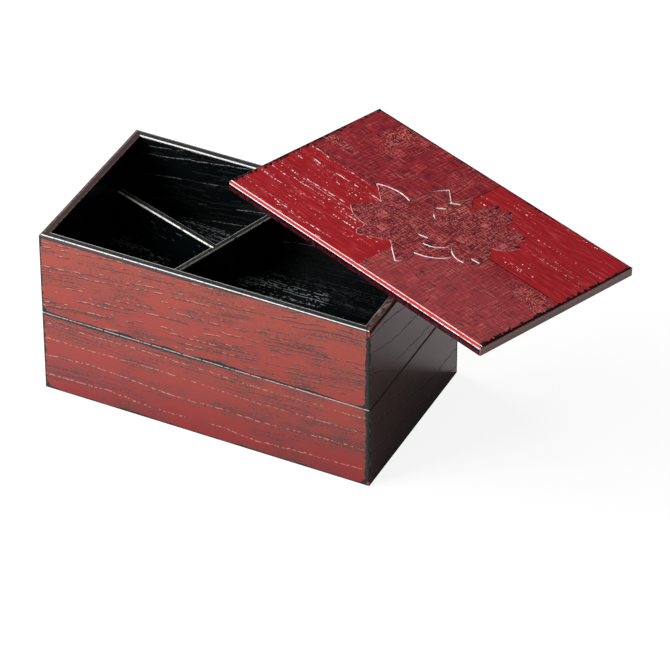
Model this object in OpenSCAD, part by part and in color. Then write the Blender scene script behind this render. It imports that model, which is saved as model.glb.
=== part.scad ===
// Two-tier stacking lacquer box. The tiers have mitred and splined corners and a floor let in from below.
// A loose T divider stands askew in the upper tier, and the lid lies askew across the rim.
// The origin is the middle of the lower tier's underside: X along the long side, Y to the back, Z up.

/* [Tiers] */
// Outside length of the tiers and of the lid
box_l = 195; // [160:1:260]
// Outside depth of the tiers and of the lid
box_w = 110; // [95:1:160]
// Height of one tier from its bottom edge to its rim
tier_h = 50.7; // [42:0.1:80]
// Thickness of the four walls
wall = 5; // [4.5:0.1:8]
// Radius of the upright outer corners
corner_r = 1; // [0.5:0.1:2]
// Radius of the outer arris round the rim
rim_r = 1.3; // [0.3:0.1:1.6]
// Radius of the inner arris round the rim
lip_r = 0.4; // [0.2:0.1:0.8]
// Radius of the outer arris along the bottom edge
foot_r = 0.5; // [0.2:0.1:1]

/* [Floors] */
// Thickness of a floor panel, flush with the bottom edge of its walls
floor_t = 3.7; // [3:0.1:6]
// How far a floor panel is let into each wall
let_in = 2.5; // [1.5:0.1:3.5]
// Room for glue round the floor panels and splines
glue_gap = 0.05; // [0.02:0.01:0.1]

/* [Corner splines] */
// Thickness of the tongue that crosses a mitre
spline_t = 1.2; // [0.8:0.1:1.6]
// Width of the tongue across the mitre
spline_w = 4; // [3:0.1:4.5]
// How far below the rim the tongue stops
spline_stop = 4; // [2:0.5:8]

/* [Locating cleats] */
// Height of the cleats under the lid and under the upper floor
cleat_h = 1.5; // [1:0.1:3]
// Width of the cleats
cleat_w = 8; // [5:0.5:12]
// Room between the cleats and the walls that they drop between
cleat_clear = 0.5; // [0.3:0.1:1]
// Bevel that leads a cleat in
cleat_bevel = 0.4; // [0.2:0.1:0.8]

/* [Lid] */
// Thickness of the lid panel
lid_t = 6.5; // [5:0.1:10]
// Bevel along the top of the lid's long sides
lid_bevel = 1.4; // [0.6:0.1:2]
// Radius of the top arris at the lid's ends
lid_end_r = 0.7; // [0.3:0.1:1.5]
// Radius of the arris round the lid's underside
lid_under_r = 1; // [0.5:0.1:2]

/* [Lid as it rests] */
// Turn of the lid from square, clockwise seen from above
lid_turn = 21.8; // [15:0.1:28]
// How far the lid's middle lies to the left of the box's right-hand end
lid_from_right = 10.3; // [5:0.1:20]
// How far the lid's middle lies in front of the box's back
lid_from_back = 18.1; // [12:0.1:24]
// Gap where the lid bears on the rim
lid_gap = 0.15; // [0.1:0.05:0.3]

/* [Divider] */
// Height of both plates
divider_h = 27.5; // [15:0.5:36]
// Thickness of both plates
divider_t = 3.8; // [3:0.1:6]
// Play at each end of the long plate when it stands square
divider_play = 0.75; // [0.5:0.05:2]
// Length of the short plate that shows beside the long one
short_l = 73; // [50:1:85]
// Depth of the housing that holds the short plate's end
housing_d = 1.3; // [0.8:0.1:2]
// Room in the housing at each side and at its bottom
housing_fit = 0.05; // [0.02:0.01:0.1]
// Radius along the plates' top edges
divider_r = 0.8; // [0.4:0.1:1.2]
// Turn of the divider from square, clockwise seen from above
divider_turn = 18.5; // [0:0.5:25]
// How far the long plate's middle lies behind the middle of the tier
divider_back = 0.6; // [-0.7:0.1:0.7]
// Gap between the short plate's end and the left wall
divider_gap = 0.2; // [0.1:0.05:0.5]

/* [Hidden] */
$fn = 48;

// Colours of the finishes and of the bare wood inside the joints
vermilion = [0.66, 0.27, 0.25];
crimson = [0.60, 0.16, 0.19];
black_lacquer = [0.06, 0.07, 0.07];
bare_wood = [0.72, 0.58, 0.40];

// Cutters reach this far past the faces they cut
past = 1;

floor_l = box_l - 2 * (wall - let_in) - 2 * glue_gap;
floor_w = box_w - 2 * (wall - let_in) - 2 * glue_gap;

// The tongues cross the mitres a little nearer to the inside than to the outside
spline_in = 0.6 * wall;
spline_h = tier_h - floor_t - spline_stop;

// The cleats form a frame that drops just inside the walls
cleat_in = wall + cleat_clear;
cleat_l = box_l - 2 * cleat_in;
cleat_d = box_w - 2 * cleat_in;

divider_l = box_w - 2 * wall - 2 * divider_play;
divider_z = tier_h + floor_t;
divider_x = -box_l / 2 + wall + divider_gap
    + (divider_t / 2 + short_l) * cos(divider_turn) + divider_t / 2 * sin(divider_turn);

// The lid bears on the back right corner of the box, and its cleats bear on the back and right rims
rim_z = 2 * tier_h;
lid_x = box_l / 2 - lid_from_right;
lid_y = box_w / 2 - lid_from_back;
cleat_inner = cleat_in + cleat_w;
// Where the inner edge of the lid's left cleat crosses the back of the rim, along the lid and along X
back_u = -box_l / 2 + cleat_inner;
back_v = (box_w / 2 - lid_y + back_u * sin(lid_turn)) / cos(lid_turn);
back_x = lid_x + back_u * cos(lid_turn) + back_v * sin(lid_turn);
// Where the inner edge of the lid's front cleat crosses the right of the rim, across the lid and along Y
right_v = -box_w / 2 + cleat_inner;
right_u = (box_l / 2 - lid_x - right_v * sin(lid_turn)) / cos(lid_turn);
right_y = lid_y - right_u * sin(lid_turn) + right_v * cos(lid_turn);
// The lid's fall to the right and to the back, as slopes
fall_x = cleat_h / (box_l / 2 - back_x);
fall_y = cleat_h / (box_w / 2 - right_y);
lid_z = rim_z + lid_gap + fall_x * (box_l / 2 - lid_x) + fall_y * (box_w / 2 - lid_y);

// A rectangle in plan with round corners
module rounded_plan(l, w, r) {
    square([l - 2 * r, w], center = true);
    square([l, w - 2 * r], center = true);
    for (x = [-1, 1], y = [-1, 1]) translate([x * (l / 2 - r), y * (w / 2 - r)]) circle(r);
}

// The sliver that rounds off a corner at the origin
module arris(r) {
    difference() {
        translate([-past, -past]) square(r + past);
        translate([r, r]) circle(r);
    }
}

// The share of a plan that belongs to the front side, between the mitres from its two corners
module front_share(l, w) {
    polygon([[-l / 2, -w / 2], [l / 2, -w / 2], [l / 2 - w / 2, 0], [-l / 2 + w / 2, 0]]);
}

// The share of a plan that belongs to the left side
module left_share(l, w) {
    polygon([[-l / 2, -w / 2], [-l / 2 + w / 2, 0], [-l / 2, w / 2]]);
}

// A section drawn inwards and upwards, run along the front side
module along_front(l, w) {
    translate([-l / 2, -w / 2, 0]) rotate([90, 0, 90]) linear_extrude(l) children();
}

// A section drawn inwards and upwards, run along the left side
module along_left(l, w) {
    translate([-l / 2, w / 2, 0]) rotate([90, 0, 0]) linear_extrude(w) children();
}

// Section through a wall: round arrises, and the rebate that takes the floor
module wall_section() {
    difference() {
        square([wall, tier_h]);
        translate([0, tier_h]) mirror([0, 1]) arris(rim_r);
        translate([wall, tier_h]) rotate(180) arris(lip_r);
        arris(foot_r);
        translate([wall - let_in, -past]) square([let_in + past, floor_t + past]);
    }
}

module spline_at(x, y, gap) {
    translate([x * (box_l / 2 - spline_in), y * (box_w / 2 - spline_in), floor_t])
        rotate(-45 * x * y)
            translate([-spline_w / 2 - gap, -spline_t / 2 - gap, -gap])
                cube([spline_w + 2 * gap, spline_t + 2 * gap, spline_h + 2 * gap]);
}

module spline(x, y) {
    color(bare_wood) spline_at(x, y, 0);
}

module front_wall() {
    color(vermilion) difference() {
        intersection() {
            along_front(box_l, box_w) wall_section();
            linear_extrude(tier_h) front_share(box_l, box_w);
            linear_extrude(tier_h) rounded_plan(box_l, box_w, corner_r);
        }
        for (x = [-1, 1]) spline_at(x, -1, glue_gap);
    }
}

module left_wall() {
    color(vermilion) difference() {
        intersection() {
            along_left(box_l, box_w) wall_section();
            linear_extrude(tier_h) left_share(box_l, box_w);
            linear_extrude(tier_h) rounded_plan(box_l, box_w, corner_r);
        }
        for (y = [-1, 1]) spline_at(-1, y, glue_gap);
    }
}

module floor_panel() {
    color(black_lacquer) translate([-floor_l / 2, -floor_w / 2, 0]) cube([floor_l, floor_w, floor_t]);
}

// Section through a cleat, hanging below the face that it is glued to
module cleat_section() {
    polygon([
        [0, 0], [0, cleat_bevel - cleat_h], [cleat_bevel, -cleat_h],
        [cleat_w, -cleat_h], [cleat_w, 0]
    ]);
}

module front_cleat() {
    color(black_lacquer) intersection() {
        along_front(cleat_l, cleat_d) cleat_section();
        translate([0, 0, -cleat_h]) linear_extrude(cleat_h) front_share(cleat_l, cleat_d);
    }
}

module left_cleat() {
    color(black_lacquer) intersection() {
        along_left(cleat_l, cleat_d) cleat_section();
        translate([0, 0, -cleat_h]) linear_extrude(cleat_h) left_share(cleat_l, cleat_d);
    }
}

// Turns a front piece into a back one
module to_back() {
    mirror([0, 1, 0]) children();
}

// Turns a left piece into a right one
module to_right() {
    mirror([1, 0, 0]) children();
}

module on_lower_tier() {
    translate([0, 0, tier_h]) children();
}

// Sections across a divider plate, standing on its bottom edge
module plate_section() {
    difference() {
        square([divider_t, divider_h]);
        translate([0, divider_h]) mirror([0, 1]) arris(divider_r);
        translate([divider_t, divider_h]) rotate(180) arris(divider_r);
    }
}

// Places the divider askew on the upper floor
module in_upper_tier() {
    translate([divider_x, divider_back, divider_z]) rotate(-divider_turn) children();
}

module long_plate() {
    housing = divider_t + 2 * housing_fit;
    color(black_lacquer) difference() {
        along_left(divider_t, divider_l) plate_section();
        translate([-divider_t / 2 - past, -housing / 2, -past])
            cube([housing_d + past, housing, divider_h + 2 * past]);
    }
}

module short_plate() {
    plate_l = short_l + housing_d - housing_fit;
    middle = plate_l / 2 - short_l - divider_t / 2;
    color(black_lacquer) translate([middle, 0, 0]) along_front(plate_l, divider_t) plate_section();
}

// Sections across the lid: bevelled on the long sides and rounded at the ends
module lid_depth_section() {
    difference() {
        square([box_w, lid_t]);
        arris(lid_under_r);
        translate([box_w, 0]) mirror([1, 0]) arris(lid_under_r);
        for (x = [0, box_w]) translate([x, lid_t]) rotate(45) square(sqrt(2) * lid_bevel, center = true);
    }
}

module lid_length_section() {
    difference() {
        square([box_l, lid_t]);
        arris(lid_under_r);
        translate([box_l, 0]) mirror([1, 0]) arris(lid_under_r);
        translate([0, lid_t]) mirror([0, 1]) arris(lid_end_r);
        translate([box_l, lid_t]) rotate(180) arris(lid_end_r);
    }
}

module panel() {
    color(crimson) intersection() {
        along_front(box_l, box_w) lid_depth_section();
        along_left(box_l, box_w) lid_length_section();
        linear_extrude(lid_t) rounded_plan(box_l, box_w, corner_r);
    }
}

// Turns the lid askew and lays it on the rim
module on_rim() {
    lean_y = atan(fall_x);
    lean_x = -atan(fall_y * cos(lean_y));
    translate([lid_x, lid_y, lid_z]) rotate([lean_x, lean_y, 0]) rotate(-lid_turn) children();
}

module lower_front_wall() { front_wall(); }
module lower_back_wall() { to_back() front_wall(); }
module lower_left_wall() { left_wall(); }
module lower_right_wall() { to_right() left_wall(); }
module lower_floor() { floor_panel(); }
module lower_spline_front_left() { spline(-1, -1); }
module lower_spline_front_right() { spline(1, -1); }
module lower_spline_back_left() { spline(-1, 1); }
module lower_spline_back_right() { spline(1, 1); }

module upper_front_wall() { on_lower_tier() front_wall(); }
module upper_back_wall() { on_lower_tier() to_back() front_wall(); }
module upper_left_wall() { on_lower_tier() left_wall(); }
module upper_right_wall() { on_lower_tier() to_right() left_wall(); }
module upper_floor() { on_lower_tier() floor_panel(); }
module upper_spline_front_left() { on_lower_tier() spline(-1, -1); }
module upper_spline_front_right() { on_lower_tier() spline(1, -1); }
module upper_spline_back_left() { on_lower_tier() spline(-1, 1); }
module upper_spline_back_right() { on_lower_tier() spline(1, 1); }
module upper_cleat_front() { on_lower_tier() front_cleat(); }
module upper_cleat_back() { on_lower_tier() to_back() front_cleat(); }
module upper_cleat_left() { on_lower_tier() left_cleat(); }
module upper_cleat_right() { on_lower_tier() to_right() left_cleat(); }

module divider_long() { in_upper_tier() long_plate(); }
module divider_short() { in_upper_tier() short_plate(); }

module lid_panel() { on_rim() panel(); }
module lid_cleat_front() { on_rim() front_cleat(); }
module lid_cleat_back() { on_rim() to_back() front_cleat(); }
module lid_cleat_left() { on_rim() left_cleat(); }
module lid_cleat_right() { on_rim() to_right() left_cleat(); }

lower_front_wall();
lower_back_wall();
lower_left_wall();
lower_right_wall();
lower_floor();
lower_spline_front_left();
lower_spline_front_right();
lower_spline_back_left();
lower_spline_back_right();
upper_front_wall();
upper_back_wall();
upper_left_wall();
upper_right_wall();
upper_floor();
upper_spline_front_left();
upper_spline_front_right();
upper_spline_back_left();
upper_spline_back_right();
upper_cleat_front();
upper_cleat_back();
upper_cleat_left();
upper_cleat_right();
divider_long();
divider_short();
lid_panel();
lid_cleat_front();
lid_cleat_back();
lid_cleat_left();
lid_cleat_right();
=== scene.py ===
"""Looks of a two-tier stacking lacquer box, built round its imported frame.

The tiers, the divider and the cleats keep their construction meshes and get worn lacquer finishes.
The lid's panel is made here, with soft bevels, two fields of lacquered cloth and a pair of cherry
blossoms in low relief.
"""

import logging
import math
from dataclasses import dataclass, field, replace
from enum import Enum
from typing import Sequence

import bmesh
import bpy
from mathutils import Matrix, Vector
from mathutils.geometry import delaunay_2d_cdt


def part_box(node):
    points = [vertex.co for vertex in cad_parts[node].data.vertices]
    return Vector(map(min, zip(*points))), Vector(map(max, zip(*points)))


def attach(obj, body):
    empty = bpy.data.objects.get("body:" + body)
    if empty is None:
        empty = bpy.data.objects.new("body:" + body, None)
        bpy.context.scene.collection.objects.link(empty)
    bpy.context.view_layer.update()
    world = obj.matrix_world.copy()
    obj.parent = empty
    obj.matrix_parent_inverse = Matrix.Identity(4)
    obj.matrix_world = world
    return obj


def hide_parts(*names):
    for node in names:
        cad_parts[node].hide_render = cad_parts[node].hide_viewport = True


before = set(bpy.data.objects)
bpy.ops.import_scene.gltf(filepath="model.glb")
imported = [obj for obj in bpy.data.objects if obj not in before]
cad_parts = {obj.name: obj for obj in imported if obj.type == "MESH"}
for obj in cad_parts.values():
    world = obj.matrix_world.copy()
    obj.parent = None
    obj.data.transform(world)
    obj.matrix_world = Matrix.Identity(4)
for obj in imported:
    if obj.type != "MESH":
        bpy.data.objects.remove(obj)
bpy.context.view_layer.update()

log = logging.getLogger("lacquer_box")

MM = 0.001
QUARTER_TURN = math.radians(90)
WHITE = (1.0, 1.0, 1.0, 1.0)
Colour = tuple[float, float, float]


def srgb(red: float, green: float, blue: float) -> tuple[float, float, float, float]:
    """Turns a colour as seen on a screen into the linear one that a shader takes.

    Args:
        red: Red, from 0 to 255.
        green: Green, from 0 to 255.
        blue: Blue, from 0 to 255.

    Returns:
        The linear colour, with an alpha of 1.
    """
    shares = [channel / 255 for channel in (red, green, blue)]
    linear = [s / 12.92 if s <= 0.04045 else ((s + 0.055) / 1.055) ** 2.4 for s in shares]
    return (linear[0], linear[1], linear[2], 1.0)


class Value:
    """One output of a node, which can be reckoned with like a number."""

    def __init__(self, sheet: "Sheet", socket: bpy.types.NodeSocket) -> None:
        """Keeps the output and the sheet that its node is on."""
        self.sheet = sheet
        self.socket = socket

    def __add__(self, other: "Feed") -> "Value":
        """Returns the sum."""
        return self.sheet.math("ADD", self, other)

    def __sub__(self, other: "Feed") -> "Value":
        """Returns this less the other."""
        return self.sheet.math("SUBTRACT", self, other)

    def __rsub__(self, other: "Feed") -> "Value":
        """Returns the other less this."""
        return self.sheet.math("SUBTRACT", other, self)

    def __mul__(self, other: "Feed") -> "Value":
        """Returns the product."""
        return self.sheet.math("MULTIPLY", self, other)

    def __truediv__(self, other: "Feed") -> "Value":
        """Returns the quotient."""
        return self.sheet.math("DIVIDE", self, other)

    def __abs__(self) -> "Value":
        """Returns the value without its sign."""
        return self.sheet.math("ABSOLUTE", self)

    __radd__ = __add__
    __rmul__ = __mul__


Feed = Value | float | Sequence[float]


class Sheet:
    """Adds nodes to one tree and joins them up."""

    def __init__(self, tree: bpy.types.NodeTree) -> None:
        """Keeps the tree that the nodes go into."""
        self.tree = tree

    def fill(self, node: bpy.types.Node, feeds: dict) -> None:
        """Links a node's inputs or sets their values.

        Args:
            node: The node.
            feeds: A value to link from, or a plain one to set, by the input's name or index.
        """
        for key, value in feeds.items():
            if isinstance(value, Value):
                self.tree.links.new(value.socket, node.inputs[key])
            else:
                node.inputs[key].default_value = value

    def add(self, kind: str, feeds: dict | None = None, **settings: object) -> bpy.types.Node:
        """Adds a node.

        Args:
            kind: The node's type.
            feeds: What goes into its inputs.
            **settings: Properties of the node, set before its inputs.

        Returns:
            The node.
        """
        node = self.tree.nodes.new(kind)
        for name, value in settings.items():
            setattr(node, name, value)
        self.fill(node, feeds or {})
        return node

    def get(self, kind: str, feeds: dict | None = None, output: str | int = 0,
            **settings: object) -> Value:
        """Adds a node and takes one of its outputs.

        Args:
            kind: The node's type.
            feeds: What goes into its inputs.
            output: Name or index of the output.
            **settings: Properties of the node.

        Returns:
            The output.
        """
        return Value(self, self.add(kind, feeds, **settings).outputs[output])

    def math(self, operation: str, *values: Feed) -> Value:
        """Adds a Math node and returns its result."""
        return self.get("ShaderNodeMath", dict(enumerate(values)), operation=operation)

    def fade(self, value: Feed, start: Feed, end: Feed, low: Feed = 0.0, high: Feed = 1.0) -> Value:
        """Adds a smooth step.

        Args:
            value: What is looked at.
            start: Where the result is still low.
            end: Where the result has become high.
            low: The result at and before start.
            high: The result at and past end.

        Returns:
            The smoothly stepped value.
        """
        feeds = {"Value": value, "From Min": start, "From Max": end, "To Min": low, "To Max": high}
        return self.get("ShaderNodeMapRange", feeds, "Result", interpolation_type="SMOOTHSTEP")

    def noise(self, vector: Feed, size: float, detail: float = 2.0) -> Value:
        """Adds soft noise.

        Args:
            vector: Where it is read.
            size: Length of one swell, in the vector's own unit.
            detail: How many finer layers it has.

        Returns:
            Its value, mostly from 0.3 to 0.7.
        """
        return self.get("ShaderNodeTexNoise", {"Vector": vector, "Scale": 1 / size, "Detail": detail})

    def ripple(self, vector: Feed, size: float, detail: float = 2.0) -> Value:
        """Returns soft noise that swings round zero."""
        return self.noise(vector, size, detail) - 0.5

    def length(self, x: Value, y: Value) -> Value:
        """Returns the length of a flat vector with two parts."""
        return self.math("SQRT", x * x + y * y)

    def most(self, *values: Feed) -> Value:
        """Returns the greatest of several values."""
        result = values[0]
        for value in values[1:]:
            result = self.math("MAXIMUM", result, value)
        return result

    def split(self, vector: Feed) -> tuple[Value, ...]:
        """Returns the three parts of a vector."""
        return tuple(Value(self, part) for part in self.add("ShaderNodeSeparateXYZ", {0: vector}).outputs)

    def join(self, x: Feed, y: Feed, z: Feed) -> Value:
        """Returns the vector of three parts."""
        return self.get("ShaderNodeCombineXYZ", {0: x, 1: y, 2: z})

    def mix(self, share: Feed, first: Value | Colour, second: Value | Colour) -> Value:
        """Mixes two colours.

        Args:
            share: Share of the second colour.
            first: The first colour, as a value or as seen on a screen.
            second: The second colour, in the same way.

        Returns:
            The mixed colour.
        """
        first, second = (srgb(*tone) if isinstance(tone, tuple) else tone for tone in (first, second))
        return self.get("ShaderNodeMix", {0: share, 6: first, 7: second}, 2, data_type="RGBA")

    def bump(self, height: Value, distance: float, strength: float) -> Value:
        """Returns the normal of a surface with fine relief."""
        return self.get("ShaderNodeBump", {"Height": height, "Distance": distance, "Strength": strength})

    def place(self) -> Value:
        """Returns the position in the piece's own coordinates, which at rest are the row frame's."""
        return self.get("ShaderNodeTexCoord", output="Object")

    def use(self, group: bpy.types.NodeTree, feeds: dict[str, Feed]) -> dict[str, Value]:
        """Places a node group.

        Args:
            group: The group.
            feeds: What goes into its inputs, by name.

        Returns:
            The group's outputs, by name.
        """
        node = self.add("ShaderNodeGroup", feeds, node_tree=group)
        return {output.name: Value(self, output) for output in node.outputs}


def new_group(name: str, numbers: Sequence[str],
              results: Sequence[str]) -> tuple[Sheet, dict[str, Value], bpy.types.Node]:
    """Starts a shader node group that takes a position.

    Args:
        name: The group's name.
        numbers: Names of its other inputs, which are numbers.
        results: Names of its outputs, which are numbers too.

    Returns:
        A sheet for its nodes, its inputs as seen from inside by name, and its output node.
    """
    tree = bpy.data.node_groups.new(name, "ShaderNodeTree")
    tree.interface.new_socket("Position", in_out="INPUT", socket_type="NodeSocketVector")
    for label in numbers:
        tree.interface.new_socket(label, in_out="INPUT", socket_type="NodeSocketFloat")
    for label in results:
        tree.interface.new_socket(label, in_out="OUTPUT", socket_type="NodeSocketFloat")
    sheet = Sheet(tree)
    entry = sheet.add("NodeGroupInput")
    given = {label: Value(sheet, entry.outputs[label]) for label in ("Position", *numbers)}
    return sheet, given, sheet.add("NodeGroupOutput")


WEAR_SIZES = ("Distance", "Width", "Swells", "Chips")


def edge_wear_group() -> bpy.types.NodeTree:
    """Builds the ragged strip where the top coat is rubbed through along an edge.

    Returns:
        A group that takes a position, the distance from the edge and the strip's width in metres, and
        how much its slow swells and its small chips change that width, and gives a mask of what is worn.
    """
    sheet, given, result = new_group("edge wear", WEAR_SIZES, ("Worn",))
    soft = 0.12 * MM
    swells = sheet.ripple(given["Position"], 18 * MM) * (given["Swells"] * 5.0)
    chips = sheet.ripple(given["Position"], 2.2 * MM, 3.0) * (given["Chips"] * 6.0)
    reach = given["Width"] * (swells + 1.0 + chips)
    sheet.fill(result, {"Worn": sheet.fade(given["Distance"], reach + soft, reach - soft)})
    return sheet.tree


def open_grain_group() -> bpy.types.NodeTree:
    """Builds wavy rows of short open pores, as in brushed-out timber under thin lacquer.

    Returns:
        A group that takes a position with X along the grain, Y across it and a seed as Z, and gives a
        mask of the pores and the tone of the fibres between them.
    """
    sizes = ("Row Gap", "Dash Length", "Dash Width", "Wave", "Cover")
    sheet, given, result = new_group("open grain", sizes, ("Pores", "Fibres"))
    along, across, seed = sheet.split(given["Position"])
    drift = sheet.ripple(sheet.join(along * 12.0, across * 26.0, seed), 1.0, 1.0)
    waver = sheet.ripple(sheet.join(along * 110.0, across * 90.0, seed), 1.0)
    bent = drift * given["Wave"] + across + waver * (2.5 * MM)
    rows = bent / given["Row Gap"]
    row_key = sheet.math("MULTIPLY_ADD", sheet.math("FLOOR", rows), 3.71, seed * 7.3)
    chance = sheet.get("ShaderNodeTexWhiteNoise", {"W": row_key}, "Value", noise_dimensions="1D")
    off_line = abs(sheet.math("FRACT", rows) - (chance * 0.6 + 0.2)) * given["Row Gap"]
    dash = sheet.noise(sheet.join(along / given["Dash Length"], row_key, seed), 1.0, 3.0)
    patch = sheet.ripple(sheet.join(along * 24.0, row_key, seed + 5.0), 1.0, 1.0)
    strength = patch * 0.8 + dash + (chance - 0.5) * 0.22
    bar = 1.0 - given["Cover"] * 0.5
    share = sheet.fade(strength, bar, bar + 0.09)
    half = given["Dash Width"] * (share * 0.5 + 0.1)
    line = sheet.fade(off_line, half * 1.3, half * 0.6)
    fibres = sheet.noise(sheet.join(along * 30.0, bent * 1100.0, seed), 1.0)
    sheet.fill(result, {"Pores": line * sheet.fade(share, 0.02, 0.3), "Fibres": fibres})
    return sheet.tree


def cloth_group() -> bpy.types.NodeTree:
    """Builds coarse cloth bedded in lacquer: uneven threads both ways, rougher in some patches.

    Returns:
        A group that takes a position in the cloth's own plane, the pitch of its threads and the least
        roughness there, and gives the threads' height, the tone of their hatching, and a mask of specks.
    """
    results = ("Threads", "Hatching", "Specks")
    sheet, given, result = new_group("lacquered cloth", ("Pitch", "Roughness"), results)
    x, y, z = sheet.split(given["Position"])
    shift = sheet.ripple(given["Position"], 7 * MM) * given["Pitch"] * 2.2
    bands = []
    streaks = []
    for cross, length in ((x, y), (y, x)):
        swell = abs(sheet.math("SINE", (cross + shift) / given["Pitch"] * math.pi))
        fat = sheet.fade(sheet.noise(sheet.join(cross * 900.0, length * 60.0, z), 1.0), 0.3, 0.7, 0.25, 1.0)
        bands.append(swell * fat)
        streaks.append(sheet.ripple(sheet.join(cross * 1500.0, length * 110.0, 3.0), 1.0, 1.0))
    patchy = sheet.fade(sheet.noise(given["Position"], 14 * MM), 0.46, 0.68)
    swing = sheet.most(patchy, given["Roughness"]) * 1.1 + 1.2
    grit = sheet.noise(sheet.join(x * 0.6, y, z), 0.8 * MM, 1.0)
    sheet.fill(result, {
        "Threads": sheet.most(*bands),
        "Hatching": (streaks[0] + streaks[1]) * swing + 0.5,
        "Specks": sheet.fade(grit, 0.56, 0.64) * (patchy * 0.35 + given["Roughness"]),
    })
    return sheet.tree


@dataclass(frozen=True)
class Effects:
    """The node groups that several finishes share."""

    wear: bpy.types.NodeTree
    grain: bpy.types.NodeTree
    cloth: bpy.types.NodeTree

    @classmethod
    def build(cls) -> "Effects":
        """Builds each group once."""
        return cls(edge_wear_group(), open_grain_group(), cloth_group())


def worn_along(sheet: Sheet, effects: Effects, place: Feed, edges: Sequence[Sequence[Feed]]) -> Value:
    """Wears the top coat off along some edges.

    Args:
        sheet: The sheet of the material.
        effects: The shared node groups.
        place: The position.
        edges: Distance, width, swells and chips of each edge, as the edge wear group takes them.

    Returns:
        The mask of what is worn.
    """
    masks = []
    for edge in edges:
        feeds = {"Position": place} | dict(zip(WEAR_SIZES, edge))
        masks.append(sheet.use(effects.wear, feeds)["Worn"])
    return sheet.most(*masks)


def patches(sheet: Sheet, place: Feed, spots: Sequence[Sequence[float]]) -> Value:
    """Builds a mask of a few ragged oval patches.

    Args:
        sheet: The sheet of the material.
        place: The position.
        spots: Middle X and Y and reach in X and Y of each patch, in millimetres.

    Returns:
        The mask, 1 inside the patches.
    """
    x, y, _ = sheet.split(place)
    ragged = sheet.ripple(place, 12 * MM, 3.0) * 1.6
    masks = []
    for middle_x, middle_y, reach_x, reach_y in spots:
        away = sheet.length((x - middle_x * MM) / (reach_x * MM), (y - middle_y * MM) / (reach_y * MM))
        masks.append(sheet.fade(ragged + away, 1.2, 0.5))
    return sheet.most(*masks)


def new_material(name: str) -> tuple[bpy.types.Material, Sheet, bpy.types.Node]:
    """Starts a node material.

    Args:
        name: The material's name.

    Returns:
        The material, a sheet for its nodes, and its main shader.
    """
    material = bpy.data.materials.new(name)
    material.use_nodes = True
    return material, Sheet(material.node_tree), material.node_tree.nodes["Principled BSDF"]


class Run(Enum):
    """Which way the grain runs in the row frame."""

    ALONG_X = 0
    ALONG_Y = 1


@dataclass(frozen=True)
class GrainLook:
    """Sizes of the open grain on one face, in millimetres, and how much of its rows is open."""

    row_gap: float
    dash_length: float
    dash_width: float
    wave: float
    cover: float

    def feeds(self, position: Feed) -> dict[str, Feed]:
        """Returns what goes into the open grain group."""
        return {
            "Position": position, "Row Gap": self.row_gap * MM, "Dash Length": self.dash_length * MM,
            "Dash Width": self.dash_width * MM, "Wave": self.wave * MM, "Cover": self.cover,
        }


@dataclass(frozen=True)
class PoreTones:
    """Colours of the open pores: dark inside, with a painted highlight on one lip. Sizes are in millimetres.
    """

    shade: Colour
    glint: Colour
    depth: float
    shift: float
    dots: float
    right: float


@dataclass(frozen=True)
class ArrisLines:
    """Painted highlights and a grey shoulder on a wall's two top arrises; sizes in millimetres, shares 0 to
    1.
    """

    outer: float = 0.1
    outer_at: float = 1.2
    outer_width: float = 0.95
    shoulder: float = 0.5
    inner: float = 0.15
    gaps: float = 0.5
    line_tone: Colour = (244, 240, 240)
    shoulder_tone: Colour = (60, 58, 60)
    inner_highlight_tone: Colour = (226, 226, 226)
    rim_light: Colour = (46, 48, 46)


@dataclass(frozen=True)
class BoxPlan:
    """Outside sizes that the tiers share, in metres."""

    half_length: float
    half_width: float
    wall: float

    @classmethod
    def from_frame(cls) -> "BoxPlan":
        """Reads the sizes of the lower tier's walls."""
        low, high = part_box("lower_front_wall")
        left_low, left_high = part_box("lower_left_wall")
        return cls(high.x, -low.y, left_high.x - left_low.x)


@dataclass(frozen=True)
class WallPoint:
    """Where a point of a wall lies, as values in metres: along it, in from its faces and up it."""

    sheet: Sheet
    effects: Effects
    place: Value
    along: Value
    depth: Value
    end: Value
    rise: Value
    below: Value

    def grain(self, look: GrainLook, across: Value, seed: float) -> dict[str, Value]:
        """Returns the pores and fibres there."""
        return self.sheet.use(self.effects.grain, look.feeds(self.sheet.join(self.along, across, seed)))


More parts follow.
